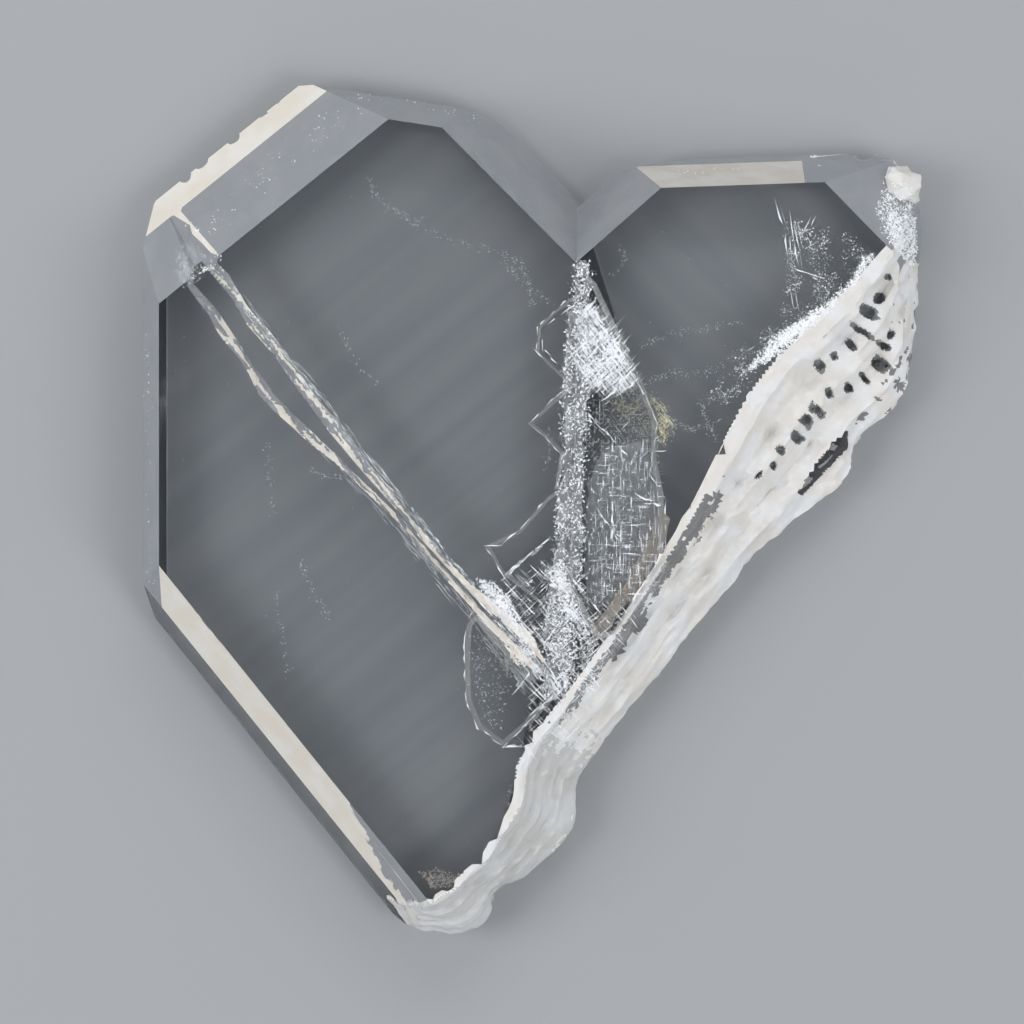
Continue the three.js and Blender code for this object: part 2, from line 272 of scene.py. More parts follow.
materials = {
    "leftClear": clearQuartz("clear quartz left crystal", twin["leftLean"]),
    "rightClear": clearQuartz("clear quartz right crystal", twin["rightLean"]),
    "frosted": etchedQuartz("etched quartz", ("#faf5ee", "#ffffff"), 0.22, 0.28, 0.22),
    "satin": etchedQuartz("lightly etched quartz", ("#f6f6f4", "#ffffff"), 0.8, 0.22, 0.4),
    # The cream of the lower left band, the ridge foot, the wedge and the trough walls is a painted
    # reflection.
    "cream": etchedQuartz("cream painted reflection", ("#faf1e3", "#fffaf1"), 0.25, 0.36, 0.5),
    # The tan of the upper right face is a painted reflection.
    "tanReflection": etchedQuartz("tan painted reflection", ("#efe6da", "#f8f3ea"), 0.36, 0.35, 0.6),
    # The bluish white of the side faces and trough walls is a painted reflection.
    "bevel": etchedQuartz("satin face with painted bluish reflection", ("#eaeef4", "#f3f6fa"), 0.7, 0.1, 1.4),
    "foot": etchedQuartz("sugary quartz", ("#f8f6f2", "#ffffff"), 0.4, 0.22, 0.3),
    "white": healedFracture("healed fracture and painted glint white", ("#ffffff", "#f2f5f9")),
    "milk": healedFracture("milky veil", ("#ffffff", "#f7f9fb"), 0.5, 0.1),
    "haze": healedFracture("cloudy growth layer", ("#ffffff", "#eceff2"), 0.5, 0.8),
    "fan": healedFracture("pale tan growth layer", ("#fdf6ee", "#f3e7da"), 0.5, 0.55),
    "iron": healedFracture("iron stained fracture", ("#fbf8e2", "#f1ebc6"), 0.4, 0.15),
    "tan": healedFracture("tan fracture", ("#faf4ec", "#efe4d8")),
}
print("materials made")


# The clear body with its crushed edge

body = {
    "weld": 0.002,
    "crest": [  # where the rough edge leaves the front face, from the right tip to the foot
        (18.7, 14.3), (17.5, 13.1), (15.9, 11.3), (14.2, 9.7), (12.2, 7.7), (10.7, 5.8), (9, 2.5),
        (7.9, 0.3), (6.7, -1.7), (5.4, -3.8), (4, -5.9), (2.9, -7.4), (1.4, -9.4), (-0.1, -11.2),
        (-0.8, -12.7), (-1, -14.4), (-1.9, -16), (-2.6, -17.2), (-3.5, -18), (-4.1, -18.6),
        (-4.7, -19), (-5.2, -19.3), (-5.9, -19.5), (-6.5, -19.6), (-7.4, -19.2),
    ],
    "rim": [  # where it meets the outline
        (20.4, 11.3), (19.5, 9.1), (19, 6.8), (18.2, 5.2), (16.3, 3.5), (16, 1.9), (13.7, 0),
        (11.2, -2.2), (10.2, -3.5), (8.4, -5.4), (6.7, -7.7), (5.4, -9.4), (3.7, -11.4), (2.5, -13.2),
        (2.2, -14.4), (2, -15.8), (0.8, -17.2), (-0.4, -18.4), (-1.8, -19.2), (-2.1, -20.2),
        (-2.7, -20.9), (-3.9, -21.2), (-5.6, -21), (-6.7, -20.6), (-8.1, -19.7),
    ],
    "sharpAngle": 28,
    "sliver": 0.004,  # faces thinner than this are closed up
    "longestEdge": 0.26,  # edges of the rough faces are split until they are shorter
    "ribs": [(2.4, 0.5, 0.17), (0.9, 0.24, 0.08)],  # length, pitch and height of the ribs along the slope
    "reliefs": [(0.9, 0.07), (0.3, 0.035)],  # grain and height of the broken surface
    "ribFrost": 1.5,  # how much whiter the top of a rib is than the groove beside it
    "windowDepth": 0.3,
    "bruise": (18.5, 16.3, 2.3, 1.6),  # the crushed tip: its centre and reach
    "creamReflectionBand": {  # the cream band of painted reflection on the lower left face: its outer, left and inner edges
        "outer": -17.5,
        "left": -18.6,
        "inner": [(-9.6, -17.2), (-7.5, -16.6), (-5, -16.1), (9, -16.15)],
    },
    "ridgeReflectionTop": 2.37,
    # the tan painted reflection on the upper right face: how far right it reaches, and the height above which
    # it lies
    "tanReflectionBand": {"to": 13.6, "above": 1.9},
    "plateFoot": 4.88,
    "footFrom": 0.7,  # the share of the crest after which the broken surface is sugary
    "bruiseFrost": 0.5,
    "rimLine": 0.13,  # the white rim of the foot, as a share of the slope's width
    "chipArea": 1.2,  # planes smaller than this, in square millimetres, are chips
    "chipTop": 4.4,
    "wedge": {"sides": (-4.8, -4.2), "turns": (-0.03, 0.05), "along": 21},  # the wedge of cream painted reflection on the left tip
    "trough": {"across": (-7.1, -3.6), "from": -6.3, "to": 23},  # the strip of the left crystal that it is in
    "leftTipFace": (19.69, 1.27),  # where it starts along the crystal, and how steeply it falls
    "tipFace": (18.6, 12.6),  # the right tip face lies beyond this corner
    "tipDirection": (0.44, 0.43, 0.79),
    "fixedBelow": 0.1,
    "crestLength": 46.0,
    "crestLine": 0.09,  # the cream line along the crest, as a share of the slope's width
    "crestLineShares": (0.3, 0.68),  # where it starts and ends
    "frostShares": [0.0, 0.12, 0.3, 0.38, 0.55, 0.66, 0.8, 1.0],
    "frost": [  # how frosted the slope is at those shares of its crest: at its top, middle and foot
        [0.8, 1.0, 1.0, 0.3, 0.2, 0.45, 0.45, 0.4],
        [0.7, 0.85, 0.9, 0.95, 1.0, 0.8, 0.55, 0.4],
        [0.35, 0.45, 0.8, 1.0, 1.0, 1.0, 0.7, 0.5],
    ],
    "pitRows": [  # rows of clear etch pits: the path of a row, and half the width of its pits along it
        ([(17.7, 11.7), (17.3, 10.4), (16.5, 9), (15.6, 7.9), (14.6, 7.1)], (0.2, 0.35, 0.62, 0.35, 0.4)),
        ([(18.2, 9.1), (17.5, 7.8), (16.8, 6.7), (15.9, 6.2), (15, 5.9)], (0.25, 0.45, 0.5, 0.3, 0.25)),
        ([(14.3, 5.2), (13.2, 3.8), (12, 2.4), (11.4, 1.8)], (0.42, 0.36, 0.25, 0.15)),
    ],
    "pitPitch": 0.74,
    "pitEdge": 0.14,  # edges by the pits are split until they are shorter than this
    "lens": [(15.9, 4.1), (15.9, 3.2), (14.9, 2.2), (13.6, 0.8), (13.3, 0.9), (14.2, 2.3), (15.2, 3.6)],
}

bodySlots = ("leftClear", "rightClear", "frosted", "satin", "foot", "cream", "tanReflection", "bevel")

growthFaces = {  # outward directions of the growth faces that get a look of their own
    "lowerLeft": (-0.675, -0.543, 0.5),
    "ridge": (-0.387, 0.482, 0.786),
    "topRight": (-0.03, 0.92, 0.39),
}


# How far outside the crest, in millimetres and as a share of the slope's width, and how far along it.
def slopeMeasures(points):
    side, share = sideOfPath(points[:, :2], body["crest"])
    steps = 60
    widths = np.linalg.norm(resample(body["rim"], steps) - resample(body["crest"], steps), axis=1)
    width = np.interp(share, np.linspace(0, 1, steps), widths)
    return side, side / width, share


# Place, direction, half length and half width of each clear etch pit.
def etchPits():
    rng = np.random.default_rng(17)
    pits = []
    for path, widths in body["pitRows"]:
        count = int(np.linalg.norm(np.diff(path, axis=0), axis=1).sum() / body["pitPitch"])
        spots = resample(path, count)
        ways = unit(np.gradient(spots, axis=0))
        spots = spots + 0.1 * rng.normal(size=spots.shape)
        reach = body["pitPitch"] * rng.uniform(0.2, 0.5, count)
        half = np.interp(np.linspace(0, 1, count), np.linspace(0, 1, len(widths)), widths)
        pits += zip(spots, ways, reach, half * rng.uniform(0.5, 1.35, count))
    return pits


clearPits = etchPits()


# 1 in the middle of each clear etch pit, 0 at its edge and less outside.
def windowDip(points):
    dip = np.full(len(points), -9.0)
    for spot, way, reach, width in clearPits:
        rel = points[:, :2] - spot
        u, v = np.abs(rel @ way) / reach, np.abs(rel @ np.array([-way[1], way[0]])) / width
        dip = np.maximum(dip, 1 - 0.7 * np.maximum(u, v) ** 2 - 0.18 * (u + v) ** 2)
    return dip


# How frosted the rough edge is, from 0, clear, to 1.
def frostAt(points):
    _, fall, share = slopeMeasures(points)
    upper, middle, lower = (np.interp(share, body["frostShares"], row) for row in body["frost"])
    frost = np.where(
        fall < 0.5,
        upper + (middle - upper) * np.clip((fall - 0.15) / 0.3, 0, 1),
        middle + (lower - middle) * np.clip((fall - 0.5) / 0.4, 0, 1),
    )
    lineFrom, lineTo = body["crestLineShares"]
    frost = np.where((fall < body["crestLine"]) & (share > lineFrom) & (share < lineTo), 0.95, frost)
    dip = windowDip(points) + 0.75 * noiseAt(points, 0.4, 14) + 0.35 * noiseAt(points, 0.16, 15)
    frost = np.where(dip > 0.0, 0.02, frost)
    frost = np.where(dip > 0.55, 0, frost)
    return np.where(insideOutline(points[:, :2], body["lens"]), 0, frost)


# Long ribs that run down the broken edge, as heights in millimetres.
def slopeRibs(points):
    side, _, share = slopeMeasures(points)
    run = share * body["crestLength"]
    height = np.zeros(len(points))
    for i, (length, pitch, rise) in enumerate(body["ribs"]):
        height += rise * noiseAt(np.c_[run / length, side / pitch, points[:, 2] / pitch * 0.5], 1.0, 20 + i)
    return height


# Which normals point the way of a growth face.
def facing(normals, key):
    return normals @ unit(np.array(growthFaces[key])) > 0.99


def inBruise(centres):
    *middle, reach = body["bruise"]
    return np.linalg.norm(centres - middle, axis=1) < reach


def inTrough(centres):
    along, across = centres @ leftAlong, centres @ leftAcross
    left, right = body["trough"]["across"]
    return (along > body["trough"]["from"]) & (across > left) & (across < right)


# Which faces belong to the broken edge and the crushed tip.
def roughFaces(centres, normals):
    side, fall, _ = slopeMeasures(centres)
    x, y, z = centres.T
    outside = (side > 0.03) & (z > 0.05) & (fall < 1.6)
    onTipFace = (x > body["tipFace"][0]) & (y > body["tipFace"][1])
    rise = np.abs(normals[:, 2])
    flat = (normals @ np.array(body["tipDirection"]) > 0.985) | (rise < 0.42) & (rise > 0.36)
    return (outside & ~onTipFace & (normals[:, 2] > -0.9)) | (inBruise(centres) & ~flat)


def troughWalls(centres, normals):
    along = centres @ leftAlong
    tipFrom, tipFall = body["leftTipFace"]
    depth = np.minimum(twin["thickness"], twin["thickness"] - (along - tipFrom) * tipFall) - centres[:, 2]
    within = inTrough(centres) & (along < body["trough"]["to"]) & (depth > 0.02) & (depth < 0.8)
    sideways = np.abs(normals @ leftAcross) > np.abs(normals @ leftAlong)
    return within & sideways & (normals[:, 2] > -0.1) & (normals[:, 2] < 0.97)


def bandFaces(centres, normals):
    band = body["creamReflectionBand"]
    within = (centres @ leftAcross > band["outer"]) & (centres[:, 0] > band["left"])
    return within & facing(normals, "lowerLeft")


# The material slot of each face.
def faceSlots(centres, normals, areas, rough, walls):
    x, z = centres[:, 0], centres[:, 2]
    along, across = centres @ leftAlong, centres @ leftAcross
    band, tan, wedge = body["creamReflectionBand"], body["tanReflectionBand"], body["wedge"]["sides"]
    slot = {key: i for i, key in enumerate(bodySlots)}
    bruised = inBruise(centres)
    _, fall, share = slopeMeasures(centres)
    frost = np.where(bruised, body["bruiseFrost"], frostAt(centres))
    speckle = 0.5 + 0.32 * noiseAt(centres, 0.9, 8) + 0.16 * noiseAt(centres, 0.28, 9)
    speckle -= body["ribFrost"] * slopeRibs(centres)
    speckle = np.where(bruised, 0.5 + 0.6 * noiseAt(centres, 0.35, 10), speckle)
    ragged = 0.05 * noiseAt(centres, 0.9, 18) + 0.03 * noiseAt(centres, 0.3, 19)
    isFoot = bruised | (share > body["footFrom"] + ragged)
    isRim = (fall < body["rimLine"]) | (speckle < frost * 0.4)
    broken = np.where(speckle < frost * 1.1, slot["frosted"], slot["satin"])
    broken = np.where(isFoot, np.where(isRim, slot["frosted"], slot["foot"]), broken)
    broken = np.where(frost == 0, slot["rightClear"], broken)

    # The trough walls are streaked cream and bluish white: painted reflection.
    streak = noiseAt(np.c_[along * 0.25, across * 3, z], 0.5, 13)
    wall = np.where(streak > 0.03 * along - 0.25, slot["cream"], slot["bevel"])

    planes = [tuple(plane) for plane in np.round(normals * 30).astype(int)]
    planeAreas = dict.fromkeys(planes, 0.0)
    for plane, area in zip(planes, areas):
        planeAreas[plane] += area
    isSmall = np.array([planeAreas[plane] < body["chipArea"] for plane in planes])
    isChip = isSmall & ~inTrough(centres) & (np.abs(normals[:, 2]) < 0.95) & (z < body["chipTop"])

    # The lower left band, the foot of the ridge and the wedge are painted cream: painted reflection.
    feather = np.interp(along, *zip(*band["inner"])) + 0.16 * noiseAt(centres, 1.5, 11)
    feather += 0.22 * noiseAt(centres, 0.35, 12)
    inWedge = (across > wedge[0]) & (across < wedge[1])
    onRidge = facing(normals, "ridge") & ((z < body["ridgeReflectionTop"]) | inWedge)
    isCream = bandFaces(centres, normals) & (across < feather) | onRidge
    # The upper right face is painted tan there: painted reflection.
    isTanReflection = facing(normals, "topRight") & (x < tan["to"]) & (z > tan["above"])
    isOuter = facing(normals, "lowerLeft") & (across < band["outer"])
    # Side faces below the plates are bluish white: painted reflection.
    side = np.where(z > body["plateFoot"], slot["satin"], slot["bevel"])
    seamSide, _ = sideOfPath(centres[:, :2], twin["seam"])
    return np.select(
        [rough, walls, isChip, isCream, isTanReflection, isOuter, np.abs(normals[:, 2]) < 0.9],
        [broken, wall, slot["frosted"], slot["cream"], slot["tanReflection"], slot["leftClear"], side],
        np.where(seamSide > 0, slot["rightClear"], slot["leftClear"]),
    )


def newMesh(name, vertices, faces):
    mesh = bpy.data.meshes.new(name)
    mesh.from_pydata(vertices, [], faces)
    return mesh


# One piece of the object, with its materials, on the body that carries it.
def addPiece(name, mesh, keys):
    for key in keys:
        mesh.materials.append(materials[key])
    piece = bpy.data.objects.new(name, mesh)
    bpy.context.scene.collection.objects.link(piece)
    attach(piece, "root")
    return piece


def makeBody():
    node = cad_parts[twin["node"]]
    work = bmesh.new()
    work.from_mesh(node.data)
    bmesh.ops.remove_doubles(work, verts=work.verts, dist=body["weld"] * mm)

    def centresAndNormals():
        centres = unplace([face.calc_center_median() for face in work.faces])
        return centres, np.array([face.normal for face in work.faces])

    # Cuts a growth face along a plane, so that a look can end there.
    def cut(key, point, normal):
        hits = facing(centresAndNormals()[1], key)
        faces = [face for face, hit in zip(work.faces, hits) if hit]
        edges = dict.fromkeys(edge for face in faces for edge in face.edges)
        verts = dict.fromkeys(vertex for face in faces for vertex in face.verts)
        geometry = [*faces, *edges, *verts]
        at = Vector(place([point])[0])
        bmesh.ops.bisect_plane(work, geom=geometry, dist=1e-7, plane_co=at, plane_no=Vector(normal))

    def mend():
        bmesh.ops.dissolve_degenerate(work, dist=body["sliver"] * mm, edges=work.edges[:])
        bmesh.ops.triangulate(work, faces=[face for face in work.faces if len(face.verts) > 3])

    band, tan, wedge = body["creamReflectionBand"], body["tanReflectionBand"], body["wedge"]
    cut("lowerLeft", leftAcross * band["outer"], leftAcross)
    cut("lowerLeft", (band["left"], 0, 0), (1, 0, 0))
    cut("ridge", (0, 0, body["ridgeReflectionTop"]), (0, 0, 1))
    for across, turn in zip(wedge["sides"], wedge["turns"]):
        cut("ridge", leftAcross * across + leftAlong * wedge["along"], leftAcross + leftAlong * turn)
    cut("topRight", (0, 0, tan["above"]), (0, 0, 1))
    cut("topRight", (tan["to"], 0, 0), (1, 0, 0))
    mend()

    for _ in range(6):
        facts = centresAndNormals()
        rough = roughFaces(*facts) | troughWalls(*facts) | bandFaces(*facts)
        longest = np.where(windowDip(facts[0]) > -1, body["pitEdge"], body["longestEdge"]) * mm
        edges = dict.fromkeys(
            edge
            for face, isRough, limit in zip(work.faces, rough, longest)
            if isRough
            for edge in face.edges
            if edge.calc_length() > limit
        )
        if not edges:
            break
        bmesh.ops.subdivide_edges(work, edges=list(edges), cuts=1, use_grid_fill=True, use_single_edge=True)
        mend()

    facts = centresAndNormals()
    rough, walls = roughFaces(*facts), troughWalls(*facts)
    still = {v for face, moves in zip(work.faces, rough | walls) if not moves for v in face.verts}
    movable = [v for v in work.verts if v.co.z > body["fixedBelow"] * mm and v not in still]
    work.normal_update()
    at = unplace([v.co for v in movable])
    lift = sum(noiseAt(at, grain, i + 1) * height for i, (grain, height) in enumerate(body["reliefs"]))
    lift += slopeRibs(at) - body["windowDepth"] * np.clip(windowDip(at), 0, 1)
    for vertex, amount in zip(movable, lift):
        vertex.co += vertex.normal * amount * mm

    areas = [face.calc_area() / mm**2 for face in work.faces]
    for face, slot, isRough in zip(work.faces, faceSlots(*centresAndNormals(), areas, rough, walls), rough):
        face.smooth = bool(isRough)
        face.material_index = int(slot)
    for edge in work.edges:
        if len(edge.link_faces) == 2 and edge.calc_face_angle() > math.radians(body["sharpAngle"]):
            edge.smooth = False
    mesh = bpy.data.meshes.new("quartz_body")
    work.to_mesh(mesh)
    work.free()
    piece = addPiece("quartz_body", mesh, bodySlots)
    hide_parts(twin["node"])
    print("body made:", len(mesh.polygons), "faces")
    return piece


quartzBody = makeBody()


# Shards: what clouds the crystal inside

inSurface = 9.0  # given as a height, it puts shards in the front surface
onTop = (inSurface, inSurface)
halfSunk = 0.004  # how far below it the middles of such shards are
bodyTree = BVHTree.FromObject(quartzBody, bpy.context.evaluated_depsgraph_get())


# One piece of thin closed shards. Each is a three-sided plate drawn out along its direction.
def shardPiece(name, key, shards):
    centres, directions, normals, lengths, widths, shapes = shards
    normals = normals - directions * np.sum(normals * directions, axis=1)[:, None]
    normals /= np.linalg.norm(normals, axis=1)[:, None] + 1e-9
    sideways = np.cross(normals, directions)
    corners = []
    for turn in range(3):
        angle = 2 * math.pi * (turn + shapes[:, turn] * 0.5) / 3
        reach = 0.6 + 0.4 * shapes[:, (turn + 1) % 3]
        corner = centres
        corner = corner + directions * (np.cos(angle) * reach * lengths / 2)[:, None]
        corner = corner + sideways * (np.sin(angle) * reach * widths / 2)[:, None]
        corners.append(corner)
    rise = normals * (widths * 0.12 + 0.004)[:, None]
    corners += [centres + rise, centres - rise]
    vertices = place(np.stack(corners, axis=1).reshape(-1, 3))
    plan = np.array([(0, 1, 3), (1, 2, 3), (2, 0, 3), (1, 0, 4), (2, 1, 4), (0, 2, 4)])
    faces = (np.arange(len(centres))[:, None, None] * 5 + plan).reshape(-1, 3)
    mesh = newMesh(name, vertices.tolist(), faces.tolist())
    mesh.update()
    addPiece(name, mesh, [key])
    print(name, "made:", len(centres), "shards")


def sheetPiece(name, key, grid, thickness):
    rows, columns, _ = grid.shape
    under = rows * columns
    lift = unit(np.cross(np.gradient(grid, axis=0), np.gradient(grid, axis=1))) * thickness / 2
    vertices = np.concatenate([(grid + lift).reshape(-1, 3), (grid - lift).reshape(-1, 3)])
    index = np.arange(under).reshape(rows, columns).tolist()
    faces = []
    for near, far in zip(index, index[1:]):
        for a, b, c, d in zip(near, near[1:], far[1:], far):
            faces += [(a, b, c, d), (d + under, c + under, b + under, a + under)]
    rim = index[0] + [row[-1] for row in index[1:]] + index[-1][-2::-1] + [row[0] for row in index[-2:0:-1]]
    faces += [(b, a, a + under, b + under) for a, b in zip(rim, rim[1:] + rim[:1])]
    mesh = newMesh(name, place(vertices).tolist(), faces)
    mesh.shade_smooth()
    addPiece(name, mesh, [key])
    print(name, "made")


# A thin, gently wavy growth layer between two edges.
def makeLayer(name, key, layer):
    rows, columns = layer["grid"]
    starts, ends = resample(layer["left"], rows), resample(layer["right"], rows)
    across = np.linspace(0, 1, columns)[None, :, None]
    grid = np.zeros((rows, columns, 3))
    grid[:, :, :2] = between((starts[:, None], ends[:, None]), across)
    grid[:, :, 2] = between(layer["heights"], across[:, :, 0])
    points = grid.reshape(-1, 3)
    points[:, 0] += 0.12 * noiseAt(points, 0.6, layer["seed"])
    points[:, 2] += 0.06 * noiseAt(points, 0.9, layer["seed"] + 1)
    sheetPiece(name, key, grid, layer["thickness"])


# Which points lie in the quartz, a margin below its surface. Below 0 it asks only for a height.
def insideBody(points, margin):
    if margin < 0:
        return ~np.isnan(points[:, 2])
    inside = []
    for point in place(points):
        spot, normal, _, distance = bodyTree.find_nearest(Vector(point))
        inside.append(distance > margin * mm and (spot - Vector(point)).dot(normal) > 0)
    return np.array(inside, bool)


# Moves points up or down to the front surface, or below it. Points beside the crystal get no height.
def atSurface(points, sink=halfSunk):
    moved = np.array(points, float)
    for i, point in enumerate(place(points)):
        spot, *_ = bodyTree.ray_cast(Vector((point[0], point[1], 0.01)), Vector((0, 0, -1)))
        moved[i, 2] = np.nan if spot is None else spot.z / mm - sink
    return moved


def finishShards(centres, directions, normals, lengths, widths, margin, rng):
    keep = insideBody(centres, margin)
    shapes = rng.random((len(centres), 3))
    return [part[keep] for part in (centres, unit(directions), normals, lengths, widths, shapes)]


def joinShards(groups):
    return [np.concatenate(parts) for parts in zip(*groups)]


# Flakes of random sizes that lie near level, inside the crystal.
def looseShards(centres, size, rng, spread=0.5, margin=0.05):
    count = len(centres)
    lengths = between(size, rng.random(count) ** 2)
    widths = lengths * (0.35 + 0.5 * rng.random(count))
    directions = unit(rng.normal(size=(count, 3)))
    normals = unit(np.array([0.0, 0.0, 1.0]) + spread * rng.normal(size=(count, 3)))
    directions = unit(directions - normals * np.sum(directions * normals, axis=1)[:, None])
    return finishShards(centres, directions, normals, lengths, widths, margin, rng)


# Flakes that lie in the front surface, half sunk, so that they catch the light themselves.
def crustShards(centres, size, rng, spread=0.16):
    return looseShards(atSurface(centres), size, rng, spread=spread, margin=-1)


# Random points over an outline between two heights, fewer near its edge, gathered in clumps.
def scatterInOutline(outline, count, heights, rng, clump=0.0, grain=0.6, soft=0.5):
    outline = np.asarray(outline, float)
    low, high = outline.min(axis=0), outline.max(axis=0)
    found = np.zeros((0, 2))
    while len(found) < count:
        tries = low + (high - low) * rng.random((count * 2, 2))
        tries = tries[insideOutline(tries, outline)]
        edge = np.abs(sideOfPath(tries, np.vstack([outline, outline[:1]]))[0])
        tries = tries[rng.random(len(tries)) * soft < edge]
        if clump:
            chance = 0.5 + 0.9 * noiseAt(np.c_[tries, np.zeros(len(tries))], grain, 3)
            tries = tries[rng.random(len(tries)) < (1 - clump) + clump * np.clip(chance * 2 - 0.6, 0, 1)]
        found = np.concatenate([found, tries])
    found = found[:count]
    return np.c_[found, between(heights, rng.random(count))]


# Random points beside a path that is cut into steps.
def scatterOnPath(path, count, steps, spread, rng):
    spots = resample(path, steps)[rng.integers(0, steps, count)] + spread * rng.normal(size=(count, 2))
    return np.c_[spots, np.zeros(count)]


# Flakes over an outline. lie is their spread and, inside the crystal, their margin.
def flakesOver(outline, count, heights, size, rng, clump=0.0, grain=0.6, soft=0.5, **lie):
    centres = scatterInOutline(outline, count, heights, rng, clump, grain, soft)
    shards = crustShards if heights[0] == inSurface else looseShards
    return shards(centres, size, rng, **lie)


# Straight cracks: rows of slivers, broken here and there.
def strokes(segments, width, height, rng, pieces=1.0, margin=0.04):
    centres, directions, lengths = [], [], []
    for x0, y0, x1, y1 in segments:
        start, end = np.array([x0, y0]), np.array([x1, y1])
        span = np.linalg.norm(end - start)
        count = max(1, int(round(span / pieces)))
        for i in range(count):
            if count > 2 and rng.random() < 0.12:
                continue
            middle = start + (end - start) * (i + 0.5 + 0.2 * rng.normal()) / count
            centres.append([*(middle + rng.normal(size=2) * width * 0.2), height + rng.normal() * 0.12])
            directions.append([*(end - start), rng.normal() * 0.06 * span])
            lengths.append(1.5 * span / count)
    count = len(centres)
    normals = tilted(count, 0.3, rng)
    widths = width * (0.5 + rng.random(count))
    centres, margin = (atSurface(centres), -1) if height == inSurface else (np.array(centres), margin)
    ways = unit(np.array(directions))
    return finishShards(centres, ways, normals, np.array(lengths), widths, margin, rng)


def pathSegments(path):
    return [(*a, *b) for a, b in zip(path[:-1], path[1:])]


# Slivers that follow a few crystal directions over an outline.
def lattice(outline, count, lengths, width, heights, rng, directions):
    centres = scatterInOutline(outline, count, heights, rng, clump=0.4)
    picks = np.array(directions)[rng.integers(0, len(directions), count)]
    ways = unit(picks + np.array([0.025, 0.025, 0.05]) * rng.normal(size=(count, 3)))
    reach = between(lengths, rng.random(count) ** 2)
    normals = tilted(count, 0.6, rng)
    widths = width * (0.5 + rng.random(count))
    if heights[0] < inSurface:
        return finishShards(centres, ways, normals, reach, widths, 0.04, rng)
    level = unit(normals * (0.3, 0.3, 1))
    return finishShards(atSurface(centres), unit(ways * (1, 1, 0)), level, reach, widths, -1, rng)


seam = {
    "line": [
        (2.5, 12.5), (2.4, 10.6), (2.2, 8.1), (2.2, 5.6), (2.1, 3.1), (1.9, 0.6), (1.9, -1.4),
        (1.7, -3.2), (1.4, -4.9), (1.2, -6.9), (1.1, -9.4),
    ],
    "halfWidth": [0.25, 0.45, 0.6, 0.65, 0.6, 0.65, 0.75, 0.8, 0.8, 0.7, 0.6],
    "shards": 9000,
    "size": (0.05, 0.26),
    "crustShare": 0.95,
    "crustSize": (0.05, 0.3),
    "heights": (4.6, 3.9),  # of the sheet's left and right edges
    "grid": (220, 12),
    "thickness": 0.03,
}


def makeSeamVeil():
    rng = np.random.default_rng(11)
    count = seam["shards"]
    widthShares = np.linspace(0, 1, len(seam["halfWidth"]))
    shares = rng.random(count)
    line = resample(seam["line"], 400)
    middle = line[(shares * 399).astype(int)]
    half = np.interp(shares, widthShares, seam["halfWidth"])
    across = rng.uniform(-1, 1, count)
    centres = np.c_[
        middle[:, 0] + across * half + 0.06 * rng.normal(size=count),
        middle[:, 1],
        seam["heights"][0] - 0.1 - 1.4 * rng.random(count) ** 2,
    ]
    streak = noiseAt(centres * np.array([3.0, 0.5, 0.2]), 0.8, 5)
    centres = centres[rng.random(count) < 0.62 + 0.7 * streak]
    patchy = seam["crustShare"] + 0.9 * noiseAt(centres * (1, 0.6, 0), 0.6, 6)
    crust = centres[rng.random(len(centres)) < patchy]
    crust[:, 0] += 0.12 * rng.normal(size=len(crust))
    inside = looseShards(centres, seam["size"], rng)
    shardPiece("seam_flakes", "white", joinShards([inside, crustShards(crust, seam["crustSize"], rng, 0.22)]))

    rows, columns = seam["grid"]
    line = resample(seam["line"], rows)
    half = np.interp(np.linspace(0, 1, rows), widthShares, seam["halfWidth"])
    across = np.linspace(-1, 1, columns)
    grid = np.zeros((rows, columns, 3))
    grid[:, :, 0] = line[:, :1] + half[:, None] * across * 0.85
    grid[:, :, 1] = line[:, 1:]
    grid[:, :, 2] = np.interp(across, (-1, 1), seam["heights"])
    flat = grid.reshape(-1, 3)
    flat[:, 0] += 0.2 * noiseAt(flat * (1, 1, 0.3), 0.7, 31) + 0.12 * noiseAt(flat * (1, 1, 0.3), 0.22, 34)
    flat[:, 2] += 0.2 * noiseAt(flat * (1, 0.5, 0.3), 0.6, 32) + 0.05 * noiseAt(flat, 0.2, 33)
    sheetPiece("seam_veil", "milk", grid, seam["thickness"])


makeSeamVeil()

